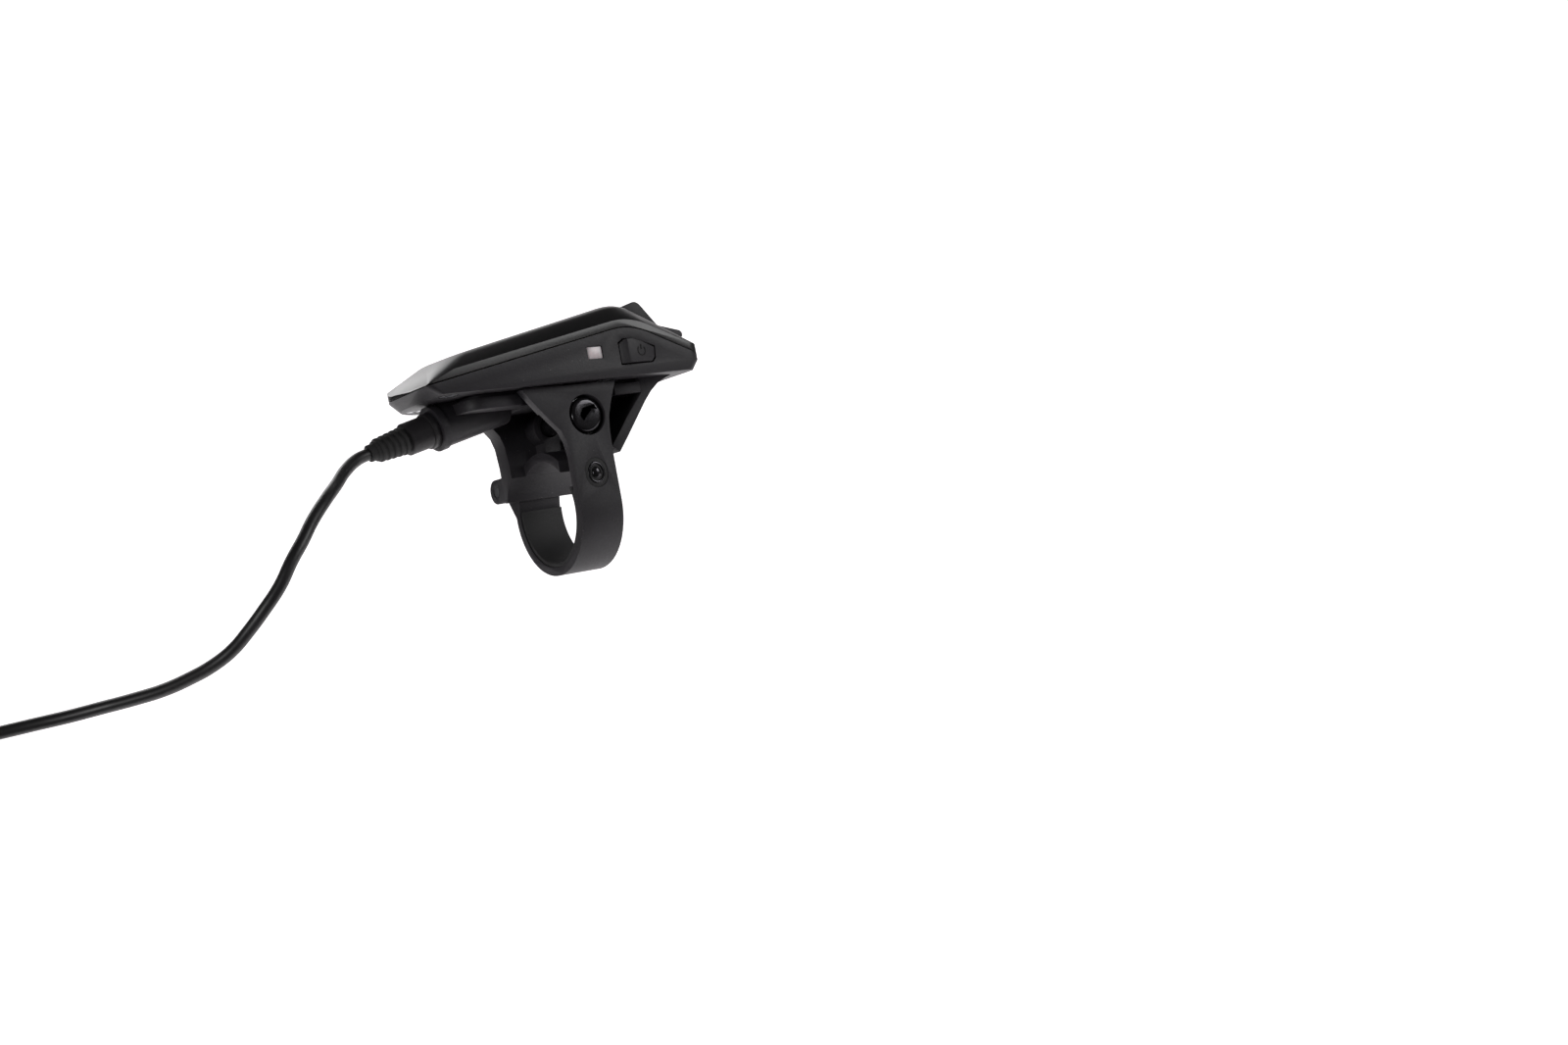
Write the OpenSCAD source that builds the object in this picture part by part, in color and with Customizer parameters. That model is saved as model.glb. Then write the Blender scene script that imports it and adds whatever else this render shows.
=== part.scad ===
// Handlebar cycling computer: a wedge-shaped display with two thumb keys,
// held on a 22.2 mm handlebar by a moulded bracket and a strap with one bolt.
// The origin is the middle of the clamp, on the bar's axis. X runs along the bar towards
// the grip, Y towards the rider and Z up through the display. Units are millimetres.

/* [Handlebar clamp] */
// Diameter of the handlebar that the clamp holds
bar_d = 22.2; // [22.2:0.1:22.4]
// Width of the strap along the bar
strap_w = 10.4; // [9.6:0.2:10.6]
// Thickness of the strap round the bar
strap_t = 1.8; // [1.6:0.1:2.0]
// Thickness of the rubber liner inside the strap
liner_t = 0.9; // [0.8:0.1:1.0]
// Diameter of the clamp bolt's thread
bolt_d = 4; // [4:0.5:4]
// Diameter of the hinge pin on the rider's side
pin_d = 2.4; // [2.2:0.1:2.6]

/* [Case] */
// Width of the case along the bar
case_w = 68.6; // [67:0.2:70]
// Depth of the case across the bar
case_depth = 32; // [31:1:34]
// Height of the case's flat bottom above the bar's axis
case_floor = 25.8; // [25.6:0.1:26.2]
// Height of the case's ridge above the bar's axis
ridge_z = 42.6; // [42:0.2:43]
// Wall thickness of the moulded case
wall = 1.8; // [1.6:0.1:2.0]
// Slope of the display's face, in degrees
face_tilt = 11.6; // [11:0.2:12]
// Slope of the thumb keys' face, in degrees
thumb_tilt = 31; // [30:0.5:32]

/* [Keys] */
// Travel of the two thumb keys
key_travel = 0.8; // [0.4:0.1:0.8]
// Travel of the power button
power_travel = 0.6; // [0.3:0.1:0.6]
// Gap round each key and button in its opening
key_gap = 0.3; // [0.2:0.05:0.35]

/* [Lead] */
// Diameter of the lead's jacket
lead_d = 2.6; // [2.4:0.1:2.8]
// Slope of the port and its plug below level, in degrees
port_tilt = 13; // [12:0.5:14]

/* [Hidden] */
$fn = 48;

eps = 0.01;
bar_r = bar_d / 2;

// Case: ends and sides, with the plan outline's corners as [centre, radius]
x_right = 31.8;
x_left = x_right - case_w;
y_near = -case_depth / 2;
y_far = case_depth / 2;
near_left_r = 2;
near_right_r = 3;
far_right_r = 4;
far_left_r = 15;
left_lean = 1.8;

// Parting line: a line rising from the left, a rounded ridge and a line falling right
part_left_z = 27.6;
part_rise = 0.182;
part_fall = 0.463;
part_ridge_x = 14.2;
part_ridge_z = part_left_z + part_rise * (part_ridge_x - x_left);
part_round = 4.8;
lip_h = 1.8;

// Top cover: its long bevel at the left end, the display's face and the thumb face. The crown's
// edge is softened in layers, each one [drawn in, lowered]
left_bevel_x = -29.5;
ridge_x = 14;
face_start_z = ridge_z - (ridge_x - left_bevel_x) * tan(face_tilt);
side_bevel = 3;
crown_near_r = 5;
crown_r = 16;
crown_layers = [[2.3, 0], [1.2, 0.12], [0.2, 0.45], [-0.7, 1]];
right_top_z = ridge_z - (x_right + 1 - ridge_x) * tan(thumb_tilt);

// Display window and the parts under it, measured along the display's face
window_x = 8.5;
window_l = 29;
window_w = 20;
window_t = 1.2;
board_t = 1;
board_depth = 6.2;

// Thumb keys, measured down the thumb face from the ridge
key_near = -11;
key_far = 11;
key_up_start = 2.6;
key_valley = 12;
key_split = 0.4;
key_down_end = 18.6;
key_base_t = 1;

// Power button and light window on the near side
power_x0 = 10.6;
power_x1 = 19.4;
power_z0 = 28.5;
light_x = [2.4, 6.1];
light_z = [30.1, 32.7];

// Port: the rim's centre, and sizes along its axis
port_rim = [-28.5, 0, 20.8];
barrel_d = 9;
barrel_bore = 7.2;
barrel_l = 17;
plug_d = 6.9;
plug_out = 6.6;
boot_l = 7.5;
boot_d = 4.9;

// Bracket: plate under the case, walls and bolt axis
plate_top = 25.0;
plate_bottom = 22.6;
plate_end = 17.4;
bracket_near = -11;
bracket_far = 11;
far_wall_y = 6.5;
bolt_x = 0.9;
bolt_z = 18.7;
hinge_y = 14.4;
hinge_z = 7;
knuckle_r = 2.7;

// Strap: outside radius, near face and ear
strap_x0 = 0.4 - strap_w / 2;
strap_x1 = 0.4 + strap_w / 2;
strap_r = bar_r + liner_t + strap_t;
ear_y0 = -strap_r;
ear_y1 = -11.5;
ear_boss_y = -9.6;
ear_top = 25.3;
ear_boss_r = 5.3;
head_d = 7.6;
head_h = 2.2;
recess_d = 8.8;
recess_floor = -10.9;
washer_d = 7.7;
washer_t = 0.5;
stud_x = 0.6;
stud_z = 6.25;
stud_d = 5.5;
stud_stretch = 0.4;

// Screws
case_screw_at = [[-29.5, -11.4], [8.2, -11.4], [-27.6, 8], [8.2, 11.4]];
post_r = 1.75;
plate_screw_at = [[-19.5, -7.5], [-19.5, 7.5], [13, -5.4], [13, 7.5]];
plate_boss_h = 2.3;

// Lead: free stretch from the boot to the coil, then a tied coil and its connector
lead_route = [
    [-43.6, 0, 17.3], [-46.6, -0.8, 16.4], [-50.5, -3, 14.3], [-54.6, -6.3, 11.3],
    [-59.2, -10.2, 8.2], [-63.9, -13, 4.2], [-66.9, -14.4, 0.9], [-69.9, -14.9, -2.5],
    [-72.9, -14.4, -6.9], [-76, -12.8, -10.7], [-78.7, -10.2, -14.1], [-81.1, -7, -17],
    [-84, -3.5, -19.2], [-87.1, 1, -20.8], [-90.7, 6, -22.1], [-94.8, 11, -22.8],
    [-99.5, 16, -23.3], [-104.9, 20, -23.8], [-110.5, 23, -24.1], [-116.2, 25, -24.4],
    [-122, 26.1, -24.6], [-127.8, 26.4, -24.7], [-133.6, 26.4, -24.7]];
coil_c = [-138.4, 27.75, -40.4];
coil_r_in = 13;
coil_r_out = coil_r_in + lead_d + 0.1;
coil_y = (lead_d + 0.1) / 2;
tail_l = 10.5;
connector_l = 15;
connector_d = 6.6;
connector_boot_l = 8;

// Colours
charcoal = [0.17, 0.165, 0.175];
black = [0.06, 0.06, 0.065];
rubber_black = [0.09, 0.09, 0.095];
steel = [0.62, 0.62, 0.64];
black_steel = [0.08, 0.08, 0.085];
board_green = [0.05, 0.28, 0.16];
pale_pink = [0.92, 0.82, 0.82];
gold = [0.83, 0.66, 0.3];
glass_dark = [0.05, 0.06, 0.07];

// ---- Helpers ----

// Points of an arc about c, from angle a0 to a1
function arc_pts(c, r, a0, a1, n = 10) =
    [for (i = [0:n]) let (a = a0 + (a1 - a0) * i / n) [c[0] + r * cos(a), c[1] + r * sin(a)]];

// Points of a quadratic curve from a to b with its handle at h
function bend_pts(a, h, b, n = 8) =
    [for (i = [0:n]) let (t = i / n) (1 - t) * (1 - t) * a + 2 * t * (1 - t) * h + t * t * b];

// Extrudes an outline drawn in X and Z along Y
module along_y(y0, y1) {
    translate([0, y1, 0]) rotate([90, 0, 0]) linear_extrude(y1 - y0) children();
}

// Extrudes an outline drawn in Y and Z along X
module along_x(x0, x1) {
    translate([x0, 0, 0]) rotate([90, 0, 90]) linear_extrude(x1 - x0) children();
}

// A round bar along Y
module rod_y(x, z, y0, y1, r) {
    translate([x, y1, z]) rotate([90, 0, 0]) cylinder(r = r, h = y1 - y0);
}

// A round bar along X
module rod_x(y, z, x0, x1, r) {
    translate([x0, y, z]) rotate([0, 90, 0]) cylinder(r = r, h = x1 - x0);
}

// A box from its lowest corner to its highest
module block(a, b) {
    translate(a) cube(b - a);
}

// A block with upright rounded edges
module round_block(a, b, r) {
    linear_extrude_at(a[2], b[2]) polygon(concat(
        arc_pts([b[0] - r, b[1] - r], r, 0, 90, 6), arc_pts([a[0] + r, b[1] - r], r, 90, 180, 6),
        arc_pts([a[0] + r, a[1] + r], r, 180, 270, 6), arc_pts([b[0] - r, a[1] + r], r, 270, 360, 6)));
}

module linear_extrude_at(z0, z1) {
    translate([0, 0, z0]) linear_extrude(z1 - z0) children();
}

// Frames: on the display's face, on the thumb face, and along the port
module on_face() {
    translate([left_bevel_x, 0, face_start_z]) rotate([0, -face_tilt, 0]) children();
}

module on_thumb() {
    translate([ridge_x, 0, ridge_z]) rotate([0, thumb_tilt, 0]) children();
}

// Local Z runs outwards along the port, from its rim
module on_port() {
    translate(port_rim) rotate([0, -90 - port_tilt, 0]) children();
}

// ---- Case outlines ----

// Plan of the case, drawn in from the sides by inset
module plan(inset = 0) {
    polygon(concat(
        arc_pts([x_left + near_left_r, y_near + near_left_r], near_left_r - inset, 180, 270, 6),
        arc_pts([x_right - near_right_r, y_near + near_right_r], near_right_r - inset, 270, 360, 6),
        arc_pts([x_right - far_right_r, y_far - far_right_r], far_right_r - inset, 0, 90, 6),
        arc_pts([x_left + left_lean + far_left_r, y_far - far_left_r], far_left_r - inset,
                90, 180, 16)));
}

// Plan of the case's flat bottom, which is drawn in at its ends and far side
module bottom_plan() {
    polygon(concat(
        arc_pts([x_left + 4.4, y_near + 1], 1, 180, 270, 6),
        arc_pts([x_right - 4.5, y_near + 2.5], 2.5, 270, 360, 6),
        arc_pts([x_right - 5.5, y_far - 5], 3.5, 0, 90, 6),
        arc_pts([x_left + left_lean + far_left_r, y_far - far_left_r], far_left_r - 2, 90, 180, 16)));
}

// Plan of the display's face and thumb face, inside the bevels, drawn in by inset at the
// left and near side and by half as much at the far side
module crown_plan(inset) {
    polygon(concat(
        arc_pts([left_bevel_x + crown_near_r + inset, y_near + side_bevel + crown_near_r + inset],
                crown_near_r, 180, 270, 8),
        arc_pts([x_right - 2, y_near + side_bevel + 1 + inset], 1, 270, 360, 4),
        arc_pts([x_right - 3, y_far - side_bevel - 2 - inset / 2], 2, 0, 90, 4),
        arc_pts([left_bevel_x + crown_r, y_far - side_bevel - crown_r], crown_r - inset / 2,
                90, 180, 16)));
}

function part_line(lift = 0) = concat(
    [[x_left - 1, part_left_z - part_rise + lift]],
    bend_pts([part_ridge_x - part_round, part_ridge_z - part_rise * part_round + lift],
             [part_ridge_x, part_ridge_z + lift],
             [part_ridge_x + part_round, part_ridge_z - part_fall * part_round + lift]),
    [[x_right + 1, part_ridge_z - part_fall * (x_right + 1 - part_ridge_x) + lift]]);

// Everything under the parting line, raised by lift
module under_parting(lift = 0) {
    polygon(concat([[x_right + 1, 10], [x_left - 1, 10]], part_line(lift)));
}

// The points of a list from last to first
function backwards(p) = [for (i = [len(p) - 1:-1:0]) p[i]];

// The band between two heights that follow the parting line
module parting_band(z0, z1) {
    polygon(concat(part_line(z0), backwards(part_line(z1))));
}

// Side view of the cover's upright lip, which runs out to nothing at the left end
module lip_outline() {
    polygon(concat([[x_right + 1, 10], [x_left - 1, 10]],
        [[x_left - 1, part_left_z - part_rise], [x_left, part_left_z + 0.1],
         [left_bevel_x, part_left_z + part_rise * (left_bevel_x - x_left) + lip_h]],
        [for (p = part_line(lip_h)) if (p[0] > left_bevel_x) p]));
}

// The cover's top outline, lowered by drop
module top_outline(drop = 0) {
    left_z = part_left_z - 0.6 - drop;
    polygon(concat(
        [[x_right + 1, case_floor], [x_left - 0.4, case_floor], [x_left - 0.4, left_z],
         [left_bevel_x, face_start_z - drop]],
        bend_pts([ridge_x - 4, ridge_z - 4 * tan(face_tilt) - drop],
                 [ridge_x, ridge_z - drop],
                 [ridge_x + 3, ridge_z - 3 * tan(thumb_tilt) - drop], 6),
        [[x_right + 1, right_top_z - drop]]));
}

// ---- Case ----

module lower_case() {
    color(charcoal) difference() {
        union() {
            difference() {
                intersection() {
                    hull() {
                        linear_extrude_at(case_floor, case_floor + eps) bottom_plan();
                        linear_extrude_at(case_floor + 2.2, ridge_z) plan();
                    }
                    along_y(y_near - 1, y_far + 1) intersection() {
                        under_parting();
                        top_outline();
                    }
                }
                linear_extrude_at(case_floor + wall, ridge_z + 1) plan(wall);
            }
            intersection() {
                for (p = case_screw_at) translate([p[0], p[1], case_floor])
                    cylinder(r = post_r, h = 12);
                along_y(y_near, y_far) under_parting(-0.4);
            }
            for (p = plate_screw_at) translate([p[0], p[1], case_floor])
                cylinder(r = 2.4, h = plate_boss_h);
            intersection() {
                on_port() translate([0, 0, -barrel_l]) cylinder(d = barrel_d, h = barrel_l);
                linear_extrude_at(15, case_floor + wall) plan(wall);
            }
            on_port() translate([0, 0, -1.6]) cylinder(d = barrel_d + 0.7, h = 1.6);
        }
        on_port() translate([0, 0, -7.5]) cylinder(d = barrel_bore, h = 8);
        on_port() translate([0, 0, -20]) cylinder(d = 5.4, h = 15);
        for (p = case_screw_at) translate([p[0], p[1], case_floor - 1]) {
            cylinder(r = 1.1, h = 20);
            cylinder(r = 2.05, h = 2.2);
        }
        for (p = plate_screw_at) translate([p[0], p[1], case_floor - 1]) cylinder(r = 1.1, h = 5);
        along_y(y_near - 1, y_near + 5) power_outline(key_gap);
        along_y(y_near - 1, y_near + 5) light_outline(0.05);
    }
}

module top_cover() {
    color(black) difference() {
        intersection() {
            hull() {
                along_y(y_near, y_far) intersection() {
                    lip_outline();
                    top_outline();
                }
                for (layer = crown_layers) intersection() {
                    along_y(y_near, y_far) top_outline(layer[1]);
                    linear_extrude_at(case_floor, ridge_z + 1) crown_plan(layer[0]);
                }
            }
            linear_extrude_at(20, ridge_z + 2) plan();
            along_y(y_near - 1, y_far + 1) difference() {
                square(200, center = true);
                under_parting();
            }
        }
        difference() {
            intersection() {
                along_y(y_near + side_bevel + 0.6, y_far - side_bevel - 0.6) top_outline(wall);
                linear_extrude_at(20, ridge_z + 2) plan(wall);
            }
            for (p = case_screw_at) translate([p[0], p[1], case_floor])
                cylinder(r = post_r, h = 20);
        }
        for (p = case_screw_at) translate([p[0], p[1], case_floor]) cylinder(r = 0.85, h = 5.4);
        on_face() {
            round_block([window_x, -window_w / 2, -window_t - 0.1],
                        [window_x + window_l, window_w / 2, 2], 2.2);
            round_block([window_x + 1.4, 1.4 - window_w / 2, -6],
                        [window_x + window_l - 1.4, window_w / 2 - 1.4, 1], 1.4);
        }
        along_y(key_near - key_gap, key_far + key_gap) key_opening();
    }
}

module case_seal() {
    color(rubber_black) intersection() {
        along_y(y_near, y_far) parting_band(-0.9, -0.05);
        linear_extrude_at(case_floor + wall + 0.05, ridge_z) difference() {
            plan(wall + 0.05);
            plan(wall + 0.8);
        }
    }
}

module case_screws() {
    color(steel) for (p = case_screw_at) translate([p[0], p[1], case_floor]) difference() {
        union() {
            translate([0, 0, 0.1]) cylinder(r = 1.9, h = 1.1);
            translate([0, 0, 1.1]) cylinder(r = 0.85, h = 4);
        }
        translate([0, 0, -0.4]) cylinder(r = 0.75, h = 1.1, $fn = 6);
    }
}

// ---- Display ----

module display_window() {
    color(glass_dark) on_face() round_block([window_x + 0.1, 0.1 - window_w / 2, -window_t],
        [window_x + window_l - 0.1, window_w / 2 - 0.1, 0], 2.1);
}

module window_gasket() {
    color(rubber_black) on_face() difference() {
        round_block([window_x + 0.2, 0.2 - window_w / 2, -window_t - 0.1],
                    [window_x + window_l - 0.2, window_w / 2 - 0.2, -window_t], 2);
        round_block([window_x + 1.6, 1.6 - window_w / 2, -window_t - 1],
                    [window_x + window_l - 1.6, window_w / 2 - 1.6, -window_t + 1], 1.2);
    }
}

module lcd_panel() {
    color([0.42, 0.46, 0.42]) on_face() block([window_x + 1.6, -8.8, -3.6],
                                              [window_x + window_l - 1.6, 8.8, -1.8]);
}

module backlight() {
    color([0.93, 0.94, 0.9]) on_face() block([window_x + 1.6, -8.8, -4.8],
                                             [window_x + window_l - 1.6, 8.8, -3.6]);
}

module main_board() {
    color(board_green) on_face() round_block([12.5, -9.5, -board_depth],
        [38, 9.5, board_t - board_depth], 1);
}

module board_chips() {
    base = -board_depth;
    color([0.09, 0.09, 0.1]) on_face() {
        block([24, -3.5, base - 1], [31, 3.5, base]);
        block([18, 2, base - 0.8], [22, 6, base]);
        block([33, -8, base - 1.2], [36, -5, base]);
        for (i = [0:4]) block([17 + 1.6 * i, -8.5, base - 0.5], [17.9 + 1.6 * i, -7, base]);
    }
}

module backup_cell() {
    color(steel) translate([3, 1, case_floor + wall + 0.3]) {
        cylinder(d = 12.5, h = 1.6);
        translate([0, 0, 1.6]) cylinder(d = 10.5, h = 0.5);
    }
}

// ---- Thumb keys ----

module key_board() {
    color(board_green) on_thumb() round_block([2.5, -7.5, -5.3], [16.5, 10, -4.5], 1);
}

module key_switches() {
    color(steel) on_thumb() for (x = [6.6, 14.4]) translate([x, 0, -4.5]) {
        block([-1.9, -1.9, 0], [1.9, 1.9, 0.25]);
        cylinder(r = 1, h = 0.45);
    }
}

module key_seal() {
    color(rubber_black) on_thumb() difference() {
        union() {
            block([2.2, -11.2, -3.9], [17, 11.2, -3.6]);
            for (x = [6.6, 14.4]) translate([x, 0, -4]) cylinder(r = 2.4, h = 0.4);
        }
        for (x = [6.6, 14.4]) translate([x, 0, -4.1]) cylinder(r = 1.6, h = 0.25);
    }
}

// Opening for both keys in the thumb face
module key_opening() {
    translate([ridge_x, ridge_z]) rotate(-thumb_tilt)
        translate([key_up_start - key_gap, -4]) square([key_down_end - key_up_start + 2 * key_gap, 8]);
}

// Side view of each key above its base, in the thumb face's own directions
function up_side() = concat(
    [[key_up_start, -1.6], [key_up_start, 0.5]],
    arc_pts([key_up_start + 3.2, 1.3], 1.9, 150, 68, 8),
    [[key_valley, 0.9], [key_valley, -1.6]]);
function down_side() = concat(
    [[key_valley + key_split, -1.6], [key_valley + key_split, 0.9]],
    arc_pts([key_down_end - 0.7, 1.4], 1.05, 105, 0, 6),
    [[key_down_end, 1], [key_down_end, -1.6]]);

module key_shape(side, x0, x1) {
    translate([ridge_x, 0, ridge_z]) rotate([0, thumb_tilt, 0]) {
        along_y(key_near, key_far) polygon(side);
        block([x0, key_near - 0.6, -2.75], [x1, key_far + 0.6, -1.95]);
        block([x0 + 0.3, key_near + 0.3, -2], [x1 - 0.3, key_far - 0.3, -1.5]);
    }
}

module up_key() {
    color(charcoal) key_shape(up_side(), key_up_start - 0.1, key_valley);
}

module down_key() {
    color(charcoal) key_shape(down_side(), key_valley + key_split, key_down_end);
}

// ---- Power button and light ----

// Outline of the power button on the near side, grown by g
module power_outline(g = 0) {
    polygon([[power_x0 - g, power_z0 - g], [power_x1 - 1.2 + g, power_z0 - g],
             [power_x1 - 0.3 + g, power_z0 + 0.9 - g], [power_x1 + g, 31.5 + g], [16, 33 + g],
             [13.6, 33.6 + g], [11.6, 33.6 + g], [power_x0 - g, 32.8 + g]]);
}

module light_outline(g = 0) {
    translate([light_x[0] - g, light_z[0] - g])
        square([light_x[1] - light_x[0] + 2 * g, light_z[1] - light_z[0] + 2 * g]);
}

module power_button() {
    color(charcoal) {
        intersection() {
            along_y(y_near - 1.2, y_near + wall) power_outline();
            linear_extrude_at(20, 40) polygon([
                [power_x0, y_near + wall], [power_x0, y_near + 0.1], [power_x0 + 1.5, y_near - 1.1],
                [power_x0 + 2.4, y_near - 1.1], [power_x1, y_near], [power_x1, y_near + wall]]);
        }
        along_y(y_near + wall + 0.05, y_near + wall + 0.85) power_outline(0.6);
        along_y(y_near + wall - 0.5, y_near + wall + 0.5) power_outline(-0.4);
        rod_y(15, 30.8, y_near + wall + 0.8, y_near + wall + 1.6, 1);
    }
}

module power_seal() {
    color(rubber_black) along_y(y_near + 4.2, y_near + 4.6) difference() {
        power_outline(0.6);
        translate([15, 30.8]) circle(1.4);
    }
}

module side_board() {
    color(board_green) block([1, y_near + 7, 28.2], [20.5, y_near + 8, 32.8]);
}

module power_switch() {
    color(steel) {
        block([13.1, y_near + 5.4, 29.2], [16.9, y_near + 7, 32.4]);
        rod_y(15, 30.8, y_near + 5, y_near + 5.5, 0.9);
    }
}

module status_led() {
    color([0.95, 0.93, 0.85]) block([3.2, y_near + 6, 30.6], [5.2, y_near + 7, 32]);
}

module light_window() {
    color(pale_pink) {
        along_y(y_near, y_near + wall + 0.4) light_outline();
        along_y(y_near + wall, y_near + wall + 0.8) light_outline(0.6);
        along_y(y_near + wall + 0.7, y_near + 5.8) light_outline(-0.5);
    }
}

// ---- Port ----

module port_socket() {
    color(black) on_port() difference() {
        union() {
            translate([0, 0, -12.9]) cylinder(d = 5.4, h = 5.4);
            translate([0, 0, -7.6]) cylinder(d = 4, h = 3.8);
        }
        for (a = [0:72:359]) rotate(a) translate([1.2, 0, -14]) cylinder(d = 0.6, h = 12);
    }
}

module port_pins() {
    color(gold) on_port() for (a = [0:72:359]) rotate(a)
        translate([1.2, 0, -14.4]) cylinder(d = 0.56, h = 10.6);
}

// ---- Bracket ----

// Side view of the bracket's rider-side wall, flared under the case
module wall_outline() {
    polygon([[-13.5, plate_bottom], [-10.6, 20], [-9.4, 18.4], [-8.7, 16], [-8.4, 12],
             [-8.3, 4], [9.2, 4], [9.3, 10.4], [11.8, 13.2], [14.6, 16.6], [plate_end, 20],
             [plate_end, plate_bottom]]);
}

// Band along the bracket's right outline, which flares out under the case
module wing_outline() {
    polygon([[9.2, 10.2], [11.8, 13.2], [14.6, 16.6], [17.9, 20.5], [19.9, 22.6], [22, 24.2],
             [24.2, 25.2], [26, case_floor], [plate_end, case_floor], [plate_end, plate_bottom],
             [15.9, 21], [12.8, 17.8], [9.9, 14.4], [7.4, 11.6]]);
}

// Room for the strap's ear and for the heads of the case screws
module plate_clearance() {
    block([-12.5, bracket_near - 1, plate_bottom - 1], [strap_x1 + 2.2, -9.2, 30]);
    for (p = case_screw_at) translate([p[0], p[1], 20]) cylinder(r = 2.4, h = 10);
}

module bracket() {
    color(charcoal) difference() {
        union() {
            along_y(far_wall_y, bracket_far) wall_outline();
            along_y(bracket_near, bracket_far) wing_outline();
            rod_x(0, 0, strap_x0, strap_x1, bar_r + 1.9);
            block([-1.1, -9.2, 9], [2.9, -6.2, plate_bottom]);
            rod_y(bolt_x, bolt_z, -9.2, -6.2, 3.6);
            rod_y(bolt_x, bolt_z, 2.5, far_wall_y + 0.5, 3.8);
            block([-1, 2.5, 11.5], [2.8, far_wall_y + 0.5, plate_bottom]);
            for (x = [[-8.3, -5.3], [6.1, 9.1]]) along_x(x[0], x[1]) {
                translate([hinge_y, hinge_z]) circle(knuckle_r);
                translate([far_wall_y, hinge_z - knuckle_r]) square([hinge_y - far_wall_y, 2 * knuckle_r]);
            }
        }
        rod_x(0, 0, -30, 30, bar_r);
        block([-30, -20, -20], [30, 20, 4]);
        block([-8, -20, 0], [8, -8, 10.2]);
        rod_x(hinge_y, hinge_z, -10, 10, pin_d / 2);
        block([strap_x0 - 0.6, bracket_far, 2], [strap_x1 + 0.6, 20, 12]);
        rod_y(bolt_x, bolt_z, -12, 12, bolt_d / 2 + 0.25);
        translate([bolt_x, bracket_far + 1, bolt_z]) rotate([90, 0, 0]) cylinder(r = 4.15, h = 4.4, $fn = 6);
        plate_clearance();
    }
}

// Plate between the bracket's walls and the case
module mount_plate() {
    color(charcoal) difference() {
        intersection() {
            union() {
                round_block([-25, bracket_near, plate_bottom], [26, bracket_far, plate_top], 4);
                round_block([-23, bracket_near + 1.5, plate_top - 0.1],
                            [24.6, bracket_far - 1.5, case_floor], 3);
            }
            block([-26, -20, 20], [plate_end, 20, 30]);
        }
        on_port() translate([0, 0, -20]) cylinder(d = barrel_d + 0.8, h = 24);
        for (p = plate_screw_at) translate([p[0], p[1], plate_bottom + 0.6]) cylinder(r = 1, h = 5);
        plate_clearance();
    }
}

// Screws driven down from inside the case into the plate
module bracket_screws() {
    head_z = case_floor + plate_boss_h + 0.05;
    color(black_steel) for (p = plate_screw_at) translate([p[0], p[1], 0]) difference() {
        union() {
            translate([0, 0, head_z]) cylinder(r = 1.9, h = 1.2);
            translate([0, 0, plate_bottom + 0.9]) cylinder(r = 0.95, h = head_z - plate_bottom - 0.8);
        }
        translate([0, 0, head_z + 0.5]) cylinder(r = 0.8, h = 1, $fn = 6);
    }
}

// ---- Strap ----

// Strap from the side: round the bar, up to the ear and to the hinge
module strap_side() {
    difference() {
        union() {
            circle(strap_r);
            translate([ear_y0, 0]) square([strap_t, 13]);
            translate([ear_y0, 12]) square([ear_y1 - ear_y0, ear_top - 12]);
            polygon([[11.6, 2.8], [13.5, 0], [16.6, 5.4], [hinge_y, hinge_z], [11.9, 6]]);
            translate([hinge_y, hinge_z]) circle(knuckle_r);
        }
        circle(bar_r + liner_t);
        polygon([[ear_y0 + strap_t, 0], [0, 0], [11.2, 3.6], [11.2, 20], [ear_y0 + strap_t, 20]]);
    }
}

// Strap from the front: a neck that flares into the ear under the case
module strap_front() {
    polygon([[-13.8, ear_top], [-11.1, 21.7], [-8.4, 18.4], [-6.2, 15.9], [-5.2, 13.4],
             [strap_x0, 10.5], [strap_x0, -16], [strap_x1, -16], [strap_x1, 11],
             [5.8, 15], [6.2, 17.9], [7.2, 20.6], [8.3, 23.2], [9.3, ear_top]]);
}

// The liner's oval stud, grown by g, between two places along Y
module stud(y0, y1, g = 0) {
    for (z = [stud_z - stud_stretch, stud_z + stud_stretch]) rod_y(stud_x, z, y0, y1, stud_d / 2 + g);
}

module clamp_strap() {
    color(charcoal) difference() {
        union() {
            intersection() {
                along_x(-20, 20) strap_side();
                along_y(-20, 20) strap_front();
            }
            rod_y(bolt_x, bolt_z, ear_y1 - 0.2, ear_boss_y, ear_boss_r);
        }
        rod_y(bolt_x, bolt_z, -16, recess_floor, recess_d / 2);
        rod_y(bolt_x, bolt_z, -16, 0, bolt_d / 2 + 0.75);
        stud(-16, 0, 0.05);
        rod_x(hinge_y, hinge_z, -20, 20, pin_d / 2 + 0.06);
    }
}

module clamp_liner() {
    color(rubber_black) {
        difference() {
            rod_x(0, 0, strap_x0 + 0.2, strap_x1 - 0.2, bar_r + liner_t);
            rod_x(0, 0, -20, 20, bar_r);
            block([-20, -20, 4.2], [20, 0, 20]);
            block([-20, -0.1, 1.6], [20, 20, 20]);
        }
        difference() {
            stud(ear_y0 + 0.1, -10.5);
            rod_x(0, 0, -20, 20, bar_r + liner_t - 0.2);
        }
    }
}

module hinge_pin() {
    color(steel) rod_x(hinge_y, hinge_z, -8.2, 9, pin_d / 2);
}

// ---- Bolt ----

module bolt_washer() {
    color(steel) difference() {
        rod_y(bolt_x, bolt_z, recess_floor - 0.05 - washer_t, recess_floor - 0.05, washer_d / 2);
        rod_y(bolt_x, bolt_z, -16, 0, bolt_d / 2 + 0.06);
    }
}

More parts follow.
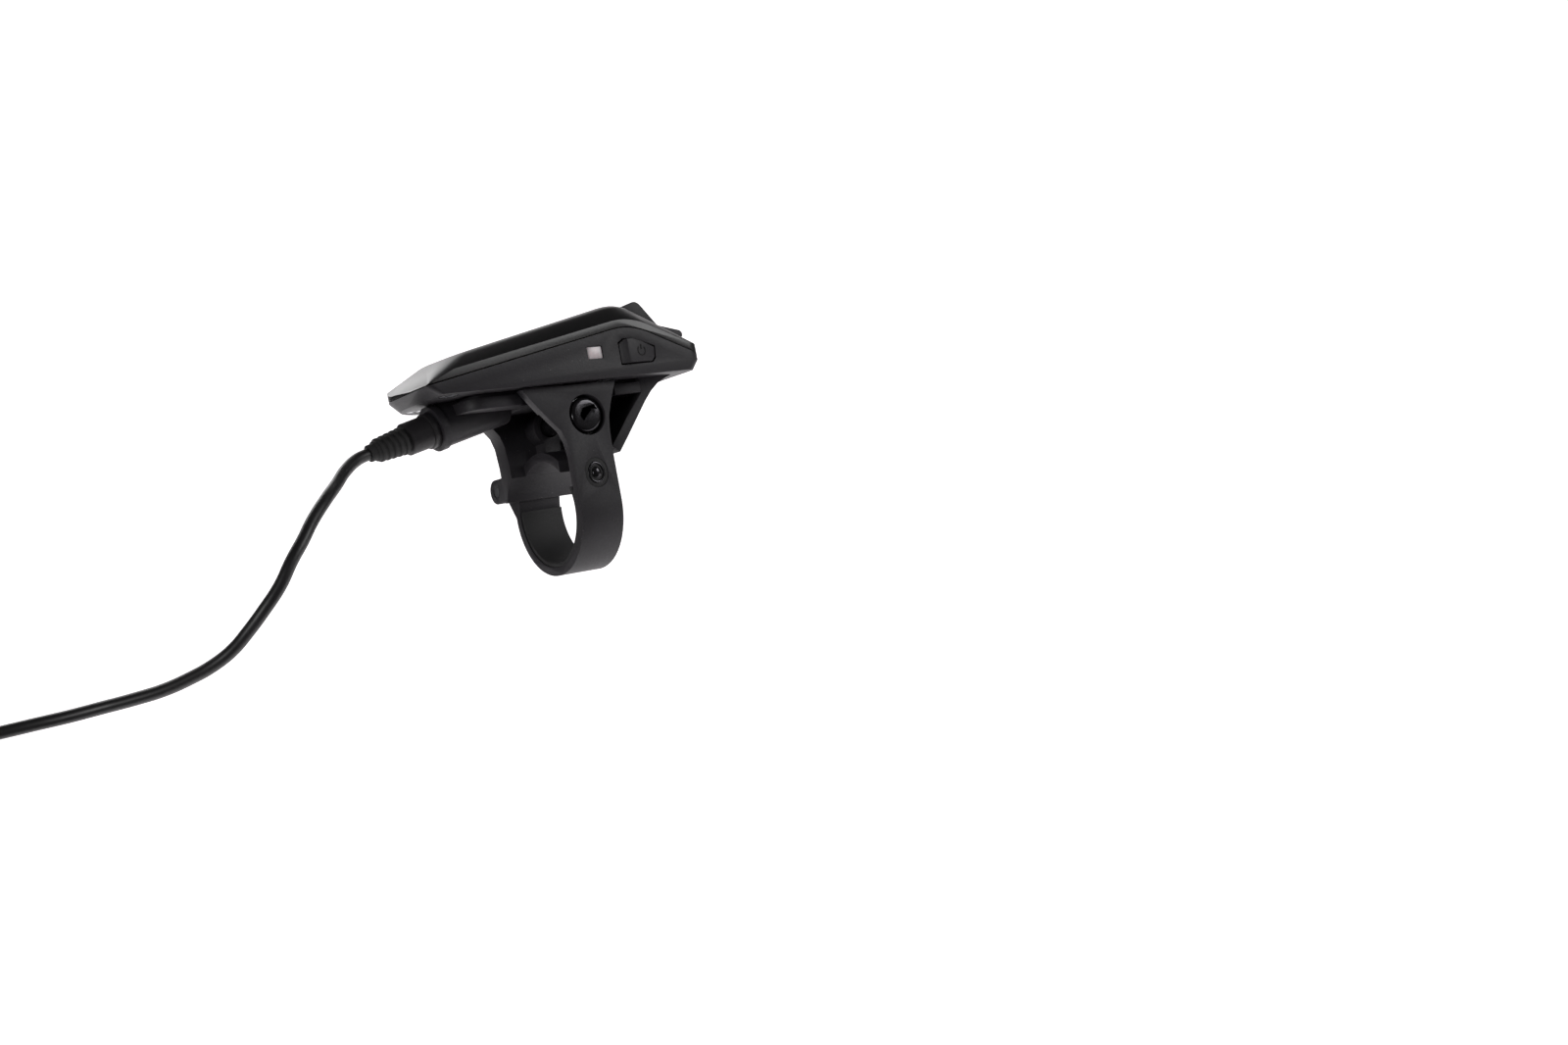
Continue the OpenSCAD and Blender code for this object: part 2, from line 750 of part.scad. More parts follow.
module clamp_bolt() {
    seat = recess_floor - 0.1 - washer_t;
    color(black_steel) difference() {
        union() {
            rod_y(bolt_x, bolt_z, seat - head_h, seat, head_d / 2);
            rod_y(bolt_x, bolt_z, seat - 0.1, 11.2, bolt_d / 2);
        }
        translate([bolt_x, seat - head_h + 1.7, bolt_z]) rotate([90, 0, 0])
            cylinder(r = 1.75, h = 3, $fn = 6);
    }
}

module clamp_nut() {
    color(steel) difference() {
        translate([bolt_x, bracket_far - 0.1, bolt_z]) rotate([90, 0, 0])
            cylinder(r = 4.04, h = 3.2, $fn = 6);
        rod_y(bolt_x, bolt_z, 0, 20, bolt_d / 2 + 0.05);
    }
}

// ---- Plug and lead ----

module plug_body() {
    color(black) on_port() difference() {
        union() {
            translate([0, 0, -7.2]) cylinder(d = barrel_bore - 0.1, h = 7);
            translate([0, 0, 0.1]) cylinder(d = plug_d + 0.7, h = 1.5);
            translate([0, 0, -0.3]) cylinder(d = plug_d, h = plug_out + 0.3);
        }
        translate([0, 0, -8]) cylinder(d = 4.1, h = 4.4);
    }
}

module plug_boot() {
    color(rubber_black) on_port() translate([0, 0, plug_out]) {
        cylinder(d1 = boot_d + 0.6, d2 = boot_d - 0.6, h = boot_l);
        for (z = [0.7:1.35:6.2]) translate([0, 0, z]) cylinder(d = boot_d + 1.15 - 0.16 * z, h = 0.7);
        translate([0, 0, boot_l - 0.1]) cylinder(d = lead_d + 1, h = 1.5);
    }
}

// A unit vector along v
function unit(v) = v / norm(v);

function ring_at(p, i, r, sides) = let (
    n = len(p) - 1,
    t = unit(p[min(i + 1, n)] - p[max(i - 1, 0)]),
    u = unit(cross(t, [0, 1, 0.2])),
    v = cross(t, u))
    [for (k = [0:sides - 1]) p[i] + r * (cos(360 * k / sides) * u + sin(360 * k / sides) * v)];

// A tube of radius r swept along the points p
module swept_tube(p, r, sides = 8) {
    n = len(p);
    polyhedron(
        points = [for (i = [0:n - 1]) each ring_at(p, i, r, sides)],
        faces = concat(
            [[for (k = [0:sides - 1]) k]],
            [for (i = [0:n - 2]) for (k = [0:sides - 1])
                [i * sides + k, (i + 1) * sides + k,
                 (i + 1) * sides + (k + 1) % sides, i * sides + (k + 1) % sides]],
            [[for (k = [sides - 1:-1:0]) (n - 1) * sides + k]]));
}

module lead_tube() {
    color(black) swept_tube(lead_route, lead_d / 2);
}

module lead_coil() {
    color(black) translate(coil_c) rotate([90, 0, 0]) rotate_extrude($fn = 64)
        translate([coil_r_in - lead_d / 2, -coil_y - lead_d / 2])
        square([coil_r_out - coil_r_in + lead_d, 2 * coil_y + lead_d]);
}

module coil_tie() {
    a = [coil_r_in - lead_d / 2, -coil_y - lead_d / 2, -2];
    b = [coil_r_out + lead_d / 2, coil_y + lead_d / 2, 2];
    color(rubber_black) translate(coil_c) difference() {
        block(a - [0.9, 0.9, 0], b + [0.9, 0.9, 0]);
        rotate([90, 0, 0]) rotate_extrude($fn = 64)
            translate([coil_r_in - lead_d / 2 - 0.02, -coil_y - lead_d / 2 - 0.02])
            square([coil_r_out - coil_r_in + lead_d + 0.04, 2 * coil_y + lead_d + 0.04]);
    }
}

module lead_tail() {
    color(black) translate(coil_c + [-coil_r_out, coil_y, -tail_l]) cylinder(d = lead_d, h = tail_l - 5);
}

module connector_boot() {
    color(rubber_black) translate(coil_c + [-coil_r_out, coil_y, -tail_l - connector_boot_l])
        cylinder(d1 = connector_d - 1.2, d2 = lead_d + 1.2, h = connector_boot_l);
}

module lead_connector() {
    color(black) translate(coil_c + [-coil_r_out, coil_y, -tail_l - connector_boot_l - connector_l])
    difference() {
        union() {
            cylinder(d = connector_d, h = connector_l);
            translate([0, 0, 5]) cylinder(d = connector_d + 1.2, h = 6);
        }
        translate([0, 0, -1]) cylinder(d = connector_d - 1.8, h = 6);
    }
}

lower_case();
top_cover();
case_seal();
case_screws();
display_window();
window_gasket();
lcd_panel();
backlight();
main_board();
board_chips();
backup_cell();
key_board();
key_switches();
key_seal();
up_key();
down_key();
power_button();
power_seal();
side_board();
power_switch();
status_led();
light_window();
port_socket();
port_pins();
bracket();
mount_plate();
bracket_screws();
clamp_strap();
clamp_liner();
hinge_pin();
clamp_bolt();
bolt_washer();
clamp_nut();
plug_body();
plug_boot();
lead_tube();
lead_coil();
lead_tail();
coil_tie();
lead_connector();
connector_boot();
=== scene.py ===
# %% [markdown]
# # A cycling computer on its handlebar clamp
# The object is a small wedge-shaped display with two thumb keys. It stands on a moulded bracket,
# a strap with one bolt closes round the bar, and a lead runs down from a plug at its left end.
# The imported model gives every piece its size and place. This notebook gives the pieces their
# rounded edges, small details and finishes, and sets up the camera and the light.

# %% Load the frame
import math

import bpy
from mathutils import Matrix, Vector


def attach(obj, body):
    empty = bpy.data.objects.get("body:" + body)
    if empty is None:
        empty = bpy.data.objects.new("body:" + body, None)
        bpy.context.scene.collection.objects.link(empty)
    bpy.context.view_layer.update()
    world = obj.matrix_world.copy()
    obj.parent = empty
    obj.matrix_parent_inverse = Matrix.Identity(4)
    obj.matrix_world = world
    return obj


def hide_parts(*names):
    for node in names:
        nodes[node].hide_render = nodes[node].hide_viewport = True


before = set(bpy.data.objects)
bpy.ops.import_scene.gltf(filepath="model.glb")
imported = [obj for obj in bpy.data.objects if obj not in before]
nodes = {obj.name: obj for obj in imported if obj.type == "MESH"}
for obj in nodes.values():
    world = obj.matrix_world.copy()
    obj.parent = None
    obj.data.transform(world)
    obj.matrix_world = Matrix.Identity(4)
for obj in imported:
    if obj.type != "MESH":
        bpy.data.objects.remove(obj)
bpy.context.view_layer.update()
MM = 0.001
print("pieces in the frame:", len(nodes))

# %% [markdown]
# ## The camera
# The camera stands low, in front of the display and to its left, and looks almost level.
# It is rolled about ten degrees, so the bar runs downhill to the left.
# A direction turned into a rotation, with the roll put on after, keeps the two ideas apart.

# %% Camera
EYE = Vector((-207.1, -344.2, -19.3)) * MM
LOOK = Vector((0.6102, 0.7920, 0.0202))
ROLL = math.radians(-10.486)
LENS, SENSOR = 42.1, 36

camera_data = bpy.data.cameras.new("studio_camera")
camera_data.sensor_width = SENSOR
camera_data.lens = LENS
camera = bpy.data.objects.new("studio_camera", camera_data)
bpy.context.scene.collection.objects.link(camera)
aim = LOOK.to_track_quat("-Z", "Y").to_matrix().to_4x4()
camera.matrix_world = Matrix.Translation(EYE) @ aim @ Matrix.Rotation(ROLL, 4, "Z")
bpy.context.scene.camera = camera
print("camera lens", camera_data.lens, "mm")

# %% [markdown]
# ## The lead
# The lead is 2.6 mm across, with a soft jacket. It leaves the plug's boot, drops in front of the
# bar, goes under it and then runs back. The part past the view is wound into a small tied coil.
# A curve is the right tool: its line is the lead's centre, so its length is easy to measure.
# Each point's radius is the lead's own, over a bevel depth of one, so the curve's box stays tight.
# The points of the free stretch are listed, and a loop works out the turns of the coil.

# %% The lead's route
LEAD_ROUTE = [
    (-43.6, 0, 17.3), (-46.6, -0.8, 16.4), (-50.5, -3, 14.3), (-54.6, -6.3, 11.3),
    (-59.2, -10.2, 8.2), (-63.9, -13, 4.2), (-66.9, -14.4, 0.9), (-69.9, -14.9, -2.5),
    (-72.9, -14.4, -6.9), (-76, -12.8, -10.7), (-78.7, -10.2, -14.1), (-81.1, -7, -17),
    (-84, -3.5, -19.2), (-87.1, 1, -20.8), (-90.7, 6, -22.1), (-94.8, 11, -22.8),
    (-99.5, 16, -23.3), (-104.9, 20, -23.8), (-110.5, 23, -24.1), (-116.2, 25, -24.4),
    (-122, 26.1, -24.6), (-127.8, 26.4, -24.7), (-133.6, 26.4, -24.7)]
LEAD_D = 2.6
TURN_PITCH = LEAD_D + 0.1
COIL_C = Vector((-138.4, 27.75, -40.4))
COIL_R_IN = 13.0
COIL_R_OUT = COIL_R_IN + TURN_PITCH
COIL_LAYER = TURN_PITCH / 2
COIL_START, COIL_END, COIL_STEP = 90, 1260, 15
RING_IN, LAYER_OVER, RING_OUT = (390, 450), (690, 750), (990, 1050)
TAIL_L = 10.5


def eased(angle, start, end):
    """0 before start, 1 after end, and a smooth rise between them."""
    t = min(max((angle - start) / (end - start), 0), 1)
    return t * t * (3 - 2 * t)


def coil_point(angle):
    """A point of the coil: it steps in a ring, over to the second layer, then out a ring."""
    inward = eased(angle, *RING_IN) - eased(angle, *RING_OUT)
    across = eased(angle, *LAYER_OVER)
    r = COIL_R_OUT + (COIL_R_IN - COIL_R_OUT) * inward
    y = COIL_LAYER * (2 * across - 1)
    a = math.radians(angle)
    return COIL_C + Vector((r * math.cos(a), y, r * math.sin(a)))


coil_turns = [coil_point(a) for a in range(COIL_START, COIL_END + 1, COIL_STEP)]
tail_end = coil_turns[-1] + Vector((0, 0, -TAIL_L))
lead_points = [Vector(p) for p in LEAD_ROUTE] + coil_turns
lead_points += [coil_turns[-1].lerp(tail_end, 0.5), tail_end]
print("points along the lead:", len(lead_points))

# %% Draw the lead
lead_curve = bpy.data.curves.new("lead", "CURVE")
lead_curve.dimensions = "3D"
lead_curve.bevel_depth = 1
lead_curve.bevel_resolution = 3
lead_curve.resolution_u = 5
lead_curve.use_fill_caps = True
spline = lead_curve.splines.new("BEZIER")
spline.bezier_points.add(len(lead_points) - 1)
for knot, point in zip(spline.bezier_points, lead_points):
    knot.co = point * MM
    knot.radius = LEAD_D / 2 * MM
    knot.handle_left_type = knot.handle_right_type = "AUTO"
lead = bpy.data.objects.new("lead", lead_curve)
bpy.context.scene.collection.objects.link(lead)
bpy.context.view_layer.update()
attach(lead, "computer")
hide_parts("lead_tube", "lead_coil", "lead_tail")

# %% [markdown]
# ## Helpers for modelling
# Every operator acts on what is selected, so each helper first selects one piece alone.
# Shapes that the frame already has right are copied, their loose triangles are merged, and
# flat areas are dissolved into single faces. After that a bevel can round their edges.

# %% Helpers
MERGE_WITHIN = 0.002
FLAT_ANGLE, BEVEL_ANGLE, SMOOTH_ANGLE = (math.radians(a) for a in (1, 28, 35))


def only(piece):
    """Selects one piece alone."""
    bpy.ops.object.select_all(action="DESELECT")
    piece.hide_viewport = False
    piece.select_set(True)
    bpy.context.view_layer.objects.active = piece


def copy_of(node, name):
    """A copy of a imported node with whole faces, to be finished in its place."""
    piece = nodes[node].copy()
    piece.data = piece.data.copy()
    piece.name = piece.data.name = name
    piece.parent = None
    for key in list(piece.keys()):
        del piece[key]
    bpy.context.scene.collection.objects.link(piece)
    only(piece)
    bpy.ops.object.mode_set(mode="EDIT")
    bpy.ops.mesh.select_all(action="SELECT")
    bpy.ops.mesh.customdata_custom_splitnormals_clear()
    bpy.ops.mesh.remove_doubles(threshold=MERGE_WITHIN * MM)
    bpy.ops.mesh.dissolve_limited(angle_limit=FLAT_ANGLE)
    bpy.ops.object.mode_set(mode="OBJECT")
    return piece


def round_edges(piece, width, segments=3):
    """Rounds every sharp edge by width, in millimetres."""
    only(piece)
    bevel = piece.modifiers.new("round", "BEVEL")
    bevel.width = width * MM
    bevel.segments = segments
    bevel.limit_method = "ANGLE"
    bevel.angle_limit = BEVEL_ANGLE
    bpy.ops.object.modifier_apply(modifier=bevel.name)
    bpy.ops.object.shade_smooth_by_angle(angle=SMOOTH_ANGLE)


def pick_edges(piece, wanted):
    """Selects only the edges for which wanted(their two ends, in millimetres) is true."""
    only(piece)
    bpy.ops.object.mode_set(mode="EDIT")
    bpy.ops.mesh.select_mode(type="EDGE")
    bpy.ops.mesh.select_all(action="DESELECT")
    bpy.ops.object.mode_set(mode="OBJECT")
    spots = piece.data.vertices
    for edge in piece.data.edges:
        edge.select = wanted(*(spots[v].co / MM for v in edge.vertices))
    return sum(edge.select for edge in piece.data.edges)


def apply_place(piece):
    """Puts a piece's place, turn and scale into its mesh."""
    only(piece)
    bpy.ops.object.transform_apply(location=True, rotation=True, scale=True)


def stand_for(piece, node, body):
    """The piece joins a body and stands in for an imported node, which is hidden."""
    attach(piece, body)
    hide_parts(node)


# %% [markdown]
# ## Helpers for finishes
# Colours are written as sRGB hex, as a colour picker shows them, and turned to linear in one place.
# A pattern's scale is worked out from the size of one grain in millimetres. Every finish starts
# the same way, so one function makes the empty material and finds the place on the piece.

# %% Colour and node helpers
def linear(hex_colour):
    """An sRGB hex colour as linear red, green, blue and alpha."""
    parts = [int(hex_colour[i:i + 2], 16) / 255 for i in (1, 3, 5)]
    return [c / 12.92 if c <= 0.04045 else ((c + 0.055) / 1.055) ** 2.4 for c in parts] + [1]


def per_mm(size):
    """The scale that makes one grain of a pattern this many millimetres across."""
    return 1 / (size * MM)


def feed(tree, node, **values):
    """Links each named input to a socket, or sets its value."""
    for key, value in values.items():
        socket = node.inputs[key.replace("_", " ")]
        if isinstance(value, bpy.types.NodeSocket):
            tree.links.new(value, socket)
        else:
            socket.default_value = value


def add(tree, kind, settings=None, **values):
    """Adds a node with its settings, and feeds its inputs."""
    node = tree.nodes.new(kind)
    for key, value in (settings or {}).items():
        setattr(node, key, value)
    feed(tree, node, **values)
    return node


def new_finish(name):
    """An empty material: itself, its tree, its shader and the place on the piece."""
    finish = bpy.data.materials.new(name)
    finish.use_nodes = True
    tree = finish.node_tree
    place = add(tree, "ShaderNodeTexCoord").outputs["Object"]
    return finish, tree, tree.nodes["Principled BSDF"], place


def noise(tree, place, grain, detail):
    """Noise with grains of this many millimetres, as a factor."""
    cloud = add(tree, "ShaderNodeTexNoise", Vector=place, Scale=per_mm(grain), Detail=detail)
    return cloud.outputs["Fac"]


def ramp(tree, factor, stops):
    """A colour ramp between (place, hex) stops."""
    node = add(tree, "ShaderNodeValToRGB", Fac=factor)
    while len(node.color_ramp.elements) < len(stops):
        node.color_ramp.elements.new(0.5)
    for element, (place, colour) in zip(node.color_ramp.elements, stops):
        element.position = place
        element.color = linear(colour)
    return node.outputs["Color"]


def between(tree, factor, low, high):
    """A factor spread over the span from low to high."""
    return add(tree, "ShaderNodeMapRange", Value=factor, To_Min=low, To_Max=high).outputs["Result"]


def bumped(tree, shader, height, distance, strength):
    """Bumps the shader's surface by a height pattern, distance in millimetres."""
    bump = add(tree, "ShaderNodeBump", Strength=strength, Distance=distance * MM, Height=height)
    feed(tree, shader, Normal=bump.outputs["Normal"])


# %% [markdown]
# ## Moulded plastics
# The case, the bracket and the strap are moulded. A spark-eroded mould leaves a fine, even grain
# that scatters light, so the plastic looks charcoal and not black. A few pale specks of
# dust lie on it. The grain of the real mould is about 0.05 mm, too fine to show, so it is drawn at
# 0.35 mm. One function makes the three shades of it.

# %% Textured moulding
CLOUD_SIZE, SPECK_SPACING = 9, 2.2
DUST = linear("#8A8688")


def textured_plastic(name, dark, light, rough, grain):
    """Spark-textured moulded plastic, with grain in millimetres and faint dust."""
    finish, tree, shader, place = new_finish(name)
    fine = noise(tree, place, grain, 2)
    specks = add(tree, "ShaderNodeTexVoronoi", Vector=place, Scale=per_mm(SPECK_SPACING),
                 Randomness=1)
    dusty = add(tree, "ShaderNodeMapRange", Value=specks.outputs["Distance"],
                From_Min=0.035, From_Max=0.06, To_Min=0.35, To_Max=0)
    body = ramp(tree, noise(tree, place, CLOUD_SIZE, 3), [(0.3, dark), (0.7, light)])
    coat = add(tree, "ShaderNodeMix", {"data_type": "RGBA"},
               Factor=dusty.outputs["Result"], A=body, B=DUST)
    feed(tree, shader, Base_Color=coat.outputs["Result"],
         Roughness=between(tree, fine, rough - 0.08, rough + 0.08),
         IOR=1.5, Specular_IOR_Level=0.35)
    bumped(tree, shader, fine, 0.06, 0.5)
    return finish


moulded_case = textured_plastic("moulded_abs_case", "#252326", "#2B292D", 0.5, 0.35)
glass_filled_nylon = textured_plastic("glass_filled_nylon", "#252326", "#2C2A2E", 0.55, 0.45)
moulded_plug = textured_plastic("moulded_nylon_plug", "#201E20", "#282628", 0.42, 0.5)
print("moulded finishes:", moulded_case.name, glass_filled_nylon.name, moulded_plug.name)

# %% [markdown]
# ## The cover's satin black
# The top cover is a blend of polycarbonate and ABS from a finer mould: black, with a soft sheen
# that turns bright where it faces the light at a low angle. Slow waves in its gloss stand for
# handling, and a faint orange-peel bump is left by the moulding.

# %% Satin cover
satin_cover, tree, shader, place = new_finish("satin_polycarbonate_cover")
handling = noise(tree, place, 14, 4)
peel = noise(tree, place, 0.5, 1)
feed(tree, shader, Base_Color=ramp(tree, handling, [(0.3, "#141314"), (0.75, "#1B1A1B")]),
     Roughness=between(tree, handling, 0.28, 0.42), IOR=1.55)
bumped(tree, shader, peel, 0.02, 0.35)
print("cover finish:", satin_cover.name)

# %% [markdown]
# ## Rubber and the lead's jacket
# Rubber is black and dull, with a faint bloom. The lead's jacket is a soft polyurethane, a little
# glossier, with fine scuffs that read as a mottled sheen. The same function gives the chips their
# resin, and the power symbol a near-black that is painted shade: the dark of a narrow groove.

# %% Rubber and jacket
def soft_black(name, dark, light, rough_low, rough_high, grain):
    """A soft black polymer: mottled gloss and a fine skin, with grain in millimetres."""
    finish, tree, shader, place = new_finish(name)
    bloom = noise(tree, place, 5, 5)
    skin = noise(tree, place, grain, 3)
    feed(tree, shader, Base_Color=ramp(tree, bloom, [(0.35, dark), (0.7, light)]),
         Roughness=between(tree, bloom, rough_low, rough_high), IOR=1.52)
    bumped(tree, shader, skin, 0.04, 0.5)
    return finish


moulded_rubber = soft_black("moulded_rubber", "#1A1A1B", "#232223", 0.6, 0.8, 0.4)
lead_jacket = soft_black("polyurethane_jacket", "#171617", "#201F20", 0.35, 0.5, 0.6)
# painted shade: a near-black for the power symbol, standing for the dark inside a narrow groove
painted_groove_shade = soft_black("painted_groove_shade_black", "#060606", "#0A090A", 0.7, 0.85, 0.3)
chip_resin = soft_black("moulded_chip_resin", "#1B1B1C", "#262627", 0.45, 0.6, 0.3)
lead_curve.materials.append(lead_jacket)
print("soft finishes:", moulded_rubber.name, lead_jacket.name, painted_groove_shade.name, chip_resin.name)

# %% [markdown]
# ## Metals
# The clamp bolt is steel blackened in a hot bath and oiled: dark, smooth and quite glossy.
# The pin, the washers and the small screws are plated steel, and the contacts are gold over brass.
# Plating is never even, so noise moves the roughness a little.

# %% Metals
def metal(name, dark, light, rough_low, rough_high, grain, metallic=1):
    """A metal whose colour and roughness wander over grains of this many millimetres."""
    finish, tree, shader, place = new_finish(name)
    fine = noise(tree, place, grain / 8, 2)
    tone = ramp(tree, noise(tree, place, grain, 5), [(0.3, dark), (0.7, light)])
    feed(tree, shader, Base_Color=tone, Roughness=between(tree, fine, rough_low, rough_high),
         Metallic=metallic)
    bumped(tree, shader, fine, 0.01, 0.3)
    return finish


black_oxide = metal("black_oxide_steel", "#2E2D2F", "#3A393C", 0.12, 0.24, 2.5, 0.8)
plated_steel = metal("zinc_plated_steel", "#9A9B9E", "#B4B5B8", 0.25, 0.4, 1.5)
gold_plate = metal("gold_plated_brass", "#B98F3E", "#D6AE5A", 0.2, 0.32, 0.8)
print("metals:", black_oxide.name, plated_steel.name, gold_plate.name)

# %% [markdown]
# ## Glass, display and boards
# The window is dark tinted glass with a hard coat. The liquid crystal panel under it is switched
# off, so it is an even grey-green with its fine cell grid. The boards carry green solder mask
# over copper tracks. The mask is drawn with a brick pattern for the tracks.

# %% Window glass
tinted_glass, tree, shader, place = new_finish("tinted_window_glass")
smears = noise(tree, place, 8, 4)
feed(tree, shader, Base_Color=linear("#8E9496"), Roughness=between(tree, smears, 0.02, 0.09),
     Transmission_Weight=1, IOR=1.5)
print("window finish:", tinted_glass.name)

# %% Display panel and diffuser
display_cells, tree, shader, place = new_finish("liquid_crystal_cells")
cells = add(tree, "ShaderNodeTexChecker", Vector=place, Scale=per_mm(0.3),
            Color1=linear("#6E766C"), Color2=linear("#646C63"))
feed(tree, shader, Base_Color=cells.outputs["Color"], Roughness=0.3)

white_diffuser, tree, shader, place = new_finish("white_diffuser")
frost = ramp(tree, noise(tree, place, 0.6, 3), [(0.3, "#E6E6E0"), (0.7, "#F2F2EC")])
feed(tree, shader, Base_Color=frost, Roughness=0.6)
print("display finishes:", display_cells.name, white_diffuser.name)

# %% Circuit boards
solder_mask, tree, shader, place = new_finish("green_solder_mask")
tracks = add(tree, "ShaderNodeTexBrick", Vector=place, Scale=per_mm(3), Color1=linear("#12502F"),
             Color2=linear("#145A35"), Mortar=linear("#2C7A4C"), Mortar_Size=0.03)
feed(tree, shader, Base_Color=tracks.outputs["Color"], Roughness=0.35)
bumped(tree, shader, tracks.outputs["Fac"], 0.03, 0.4)
print("board finish:", solder_mask.name)

# %% [markdown]
# ## The light window
# The little window beside the power button is pale pink translucent polycarbonate, a light pipe.
# Light soaks in and comes out again, so a little subsurface scattering gives it its milky look.

# %% Light pipe
light_pipe, tree, shader, place = new_finish("translucent_light_pipe")
milk = ramp(tree, noise(tree, place, 1.2, 2), [(0.3, "#D3C6C9"), (0.7, "#E6DBDD")])
feed(tree, shader, Base_Color=milk, Roughness=0.3, IOR=1.58, Subsurface_Weight=0.4,
     Subsurface_Radius=(0.001, 0.0006, 0.0006), Subsurface_Scale=1)
print("light pipe:", light_pipe.name)

# %% [markdown]
# ## Pieces that keep their shape
# Most pieces inside the case, and the plain fasteners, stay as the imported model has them. A table
# gives each of them its finish.

# %% Dress a piece
def dress(piece, finish):
    """Gives a piece one finish all over."""
    piece.data.materials.clear()
    piece.data.materials.append(finish)


INNER_FINISHES = {
    "case_seal": moulded_rubber, "case_screws": plated_steel, "display_window": tinted_glass,
    "window_gasket": moulded_rubber, "lcd_panel": display_cells, "backlight": white_diffuser,
    "main_board": solder_mask, "board_chips": chip_resin, "backup_cell": plated_steel,
    "key_board": solder_mask, "key_switches": plated_steel, "key_seal": moulded_rubber,
    "power_seal": moulded_rubber, "side_board": solder_mask, "power_switch": plated_steel,
    "status_led": white_diffuser, "port_socket": chip_resin, "port_pins": gold_plate,
    "hinge_pin": plated_steel, "bolt_washer": plated_steel, "clamp_nut": plated_steel,
    "bracket_screws": black_oxide}
for node, finish in INNER_FINISHES.items():
    dress(nodes[node], finish)
print("packed pieces dressed:", len(INNER_FINISHES))

# %% [markdown]
# ## The case
# The case is two shells that meet at a fine line. Their shapes are right in the frame, so each is
# copied, and every edge gets the small radius of a mould edge. The faces under the cover's rim are
# picked by their height and raised a little, which leaves the thin dark seam between the shells.

# %% Lower case
CASE_EDGE = 0.25
lower_case = copy_of("lower_case", "case_lower_shell")
round_edges(lower_case, CASE_EDGE)
dress(lower_case, moulded_case)
stand_for(lower_case, "lower_case", "computer")
print("lower shell faces:", len(lower_case.data.polygons))

# %% Top cover
SEAM = 0.2
PART_LEFT, PART_RIDGE = (-36.8, 27.6), (14.2, 36.88)
PART_FALL = -0.463


def parting(x):
    """Height of the line where the two shells meet, in millimetres."""
    rise = (PART_RIDGE[1] - PART_LEFT[1]) / (PART_RIDGE[0] - PART_LEFT[0])
    slope = rise if x < PART_RIDGE[0] else PART_FALL
    return PART_RIDGE[1] + slope * (x - PART_RIDGE[0])


top_cover = copy_of("top_cover", "case_top_cover")
bpy.ops.object.mode_set(mode="EDIT")
bpy.ops.mesh.select_mode(type="FACE")
bpy.ops.mesh.select_all(action="DESELECT")
bpy.ops.object.mode_set(mode="OBJECT")
for face in top_cover.data.polygons:
    spot = face.center / MM
    face.select = face.normal.z < -0.8 and abs(spot.z - parting(spot.x)) < 1
bpy.ops.object.mode_set(mode="EDIT")
bpy.ops.transform.translate(value=(0, 0, SEAM * MM))
bpy.ops.object.mode_set(mode="OBJECT")
round_edges(top_cover, CASE_EDGE)
dress(top_cover, satin_cover)
stand_for(top_cover, "top_cover", "computer")
print("cover faces:", len(top_cover.data.polygons))

# %% [markdown]
# ## Keys and the power button
# The two thumb keys stand out of the steep face, and each has a small raised arrow for the thumb.
# The power button is a wedge with the usual symbol: a ring broken by an upright bar.
# The arrow starts as a three-sided cylinder, and the symbol is a ring that loses its top.

# %% Thumb keys
RIDGE = Vector((14, 0, 42.6))
THUMB_TILT = math.radians(31)
ARROW_R, ARROW_H = 1.7, 0.5
THUMB_DOWN = Vector((math.cos(THUMB_TILT), 0, -math.sin(THUMB_TILT)))
THUMB_OUT = Vector((math.sin(THUMB_TILT), 0, math.cos(THUMB_TILT)))


def thumb_key(node, along, out, uphill):
    """A thumb key with a raised arrow, placed down the slope from the ridge and out of it."""
    key = copy_of(node, node + "_cap")
    round_edges(key, 0.4)
    dress(key, moulded_case)
    stand_for(key, node, node)
    bpy.ops.object.select_all(action="DESELECT")
    bpy.ops.mesh.primitive_cylinder_add(vertices=3, radius=ARROW_R * MM, depth=ARROW_H * MM)
    arrow = bpy.context.object
    arrow.name = node + "_arrow"
    point = -THUMB_DOWN if uphill else THUMB_DOWN
    turned = Matrix((point.cross(THUMB_OUT), point, THUMB_OUT)).transposed().to_4x4()
    place = RIDGE + THUMB_DOWN * along + THUMB_OUT * out
    arrow.matrix_world = Matrix.Translation(place * MM) @ turned
    apply_place(arrow)
    round_edges(arrow, 0.18, 2)
    dress(arrow, moulded_case)
    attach(arrow, node)
    return key


up_key = thumb_key("up_key", 7.6, 1.85, True)
down_key = thumb_key("down_key", 15.0, 1.45, False)
print("keys:", up_key.name, down_key.name)

# %% Power button
power_button = copy_of("power_button", "power_button_cap")
round_edges(power_button, 0.3)
dress(power_button, moulded_case)
stand_for(power_button, "power_button", "power_button")
print("button faces:", len(power_button.data.polygons))

# %% Power symbol
SYMBOL_AT = Vector((15.6, -16.63, 30.9))
SYMBOL_R, STROKE = 1.05, 0.3
BAR_MIDDLE = 0.75 * SYMBOL_R
RING_STEPS, GAP_STEPS = 24, 3
BUTTON_SLOPE = math.atan2(1.1, 6.4)

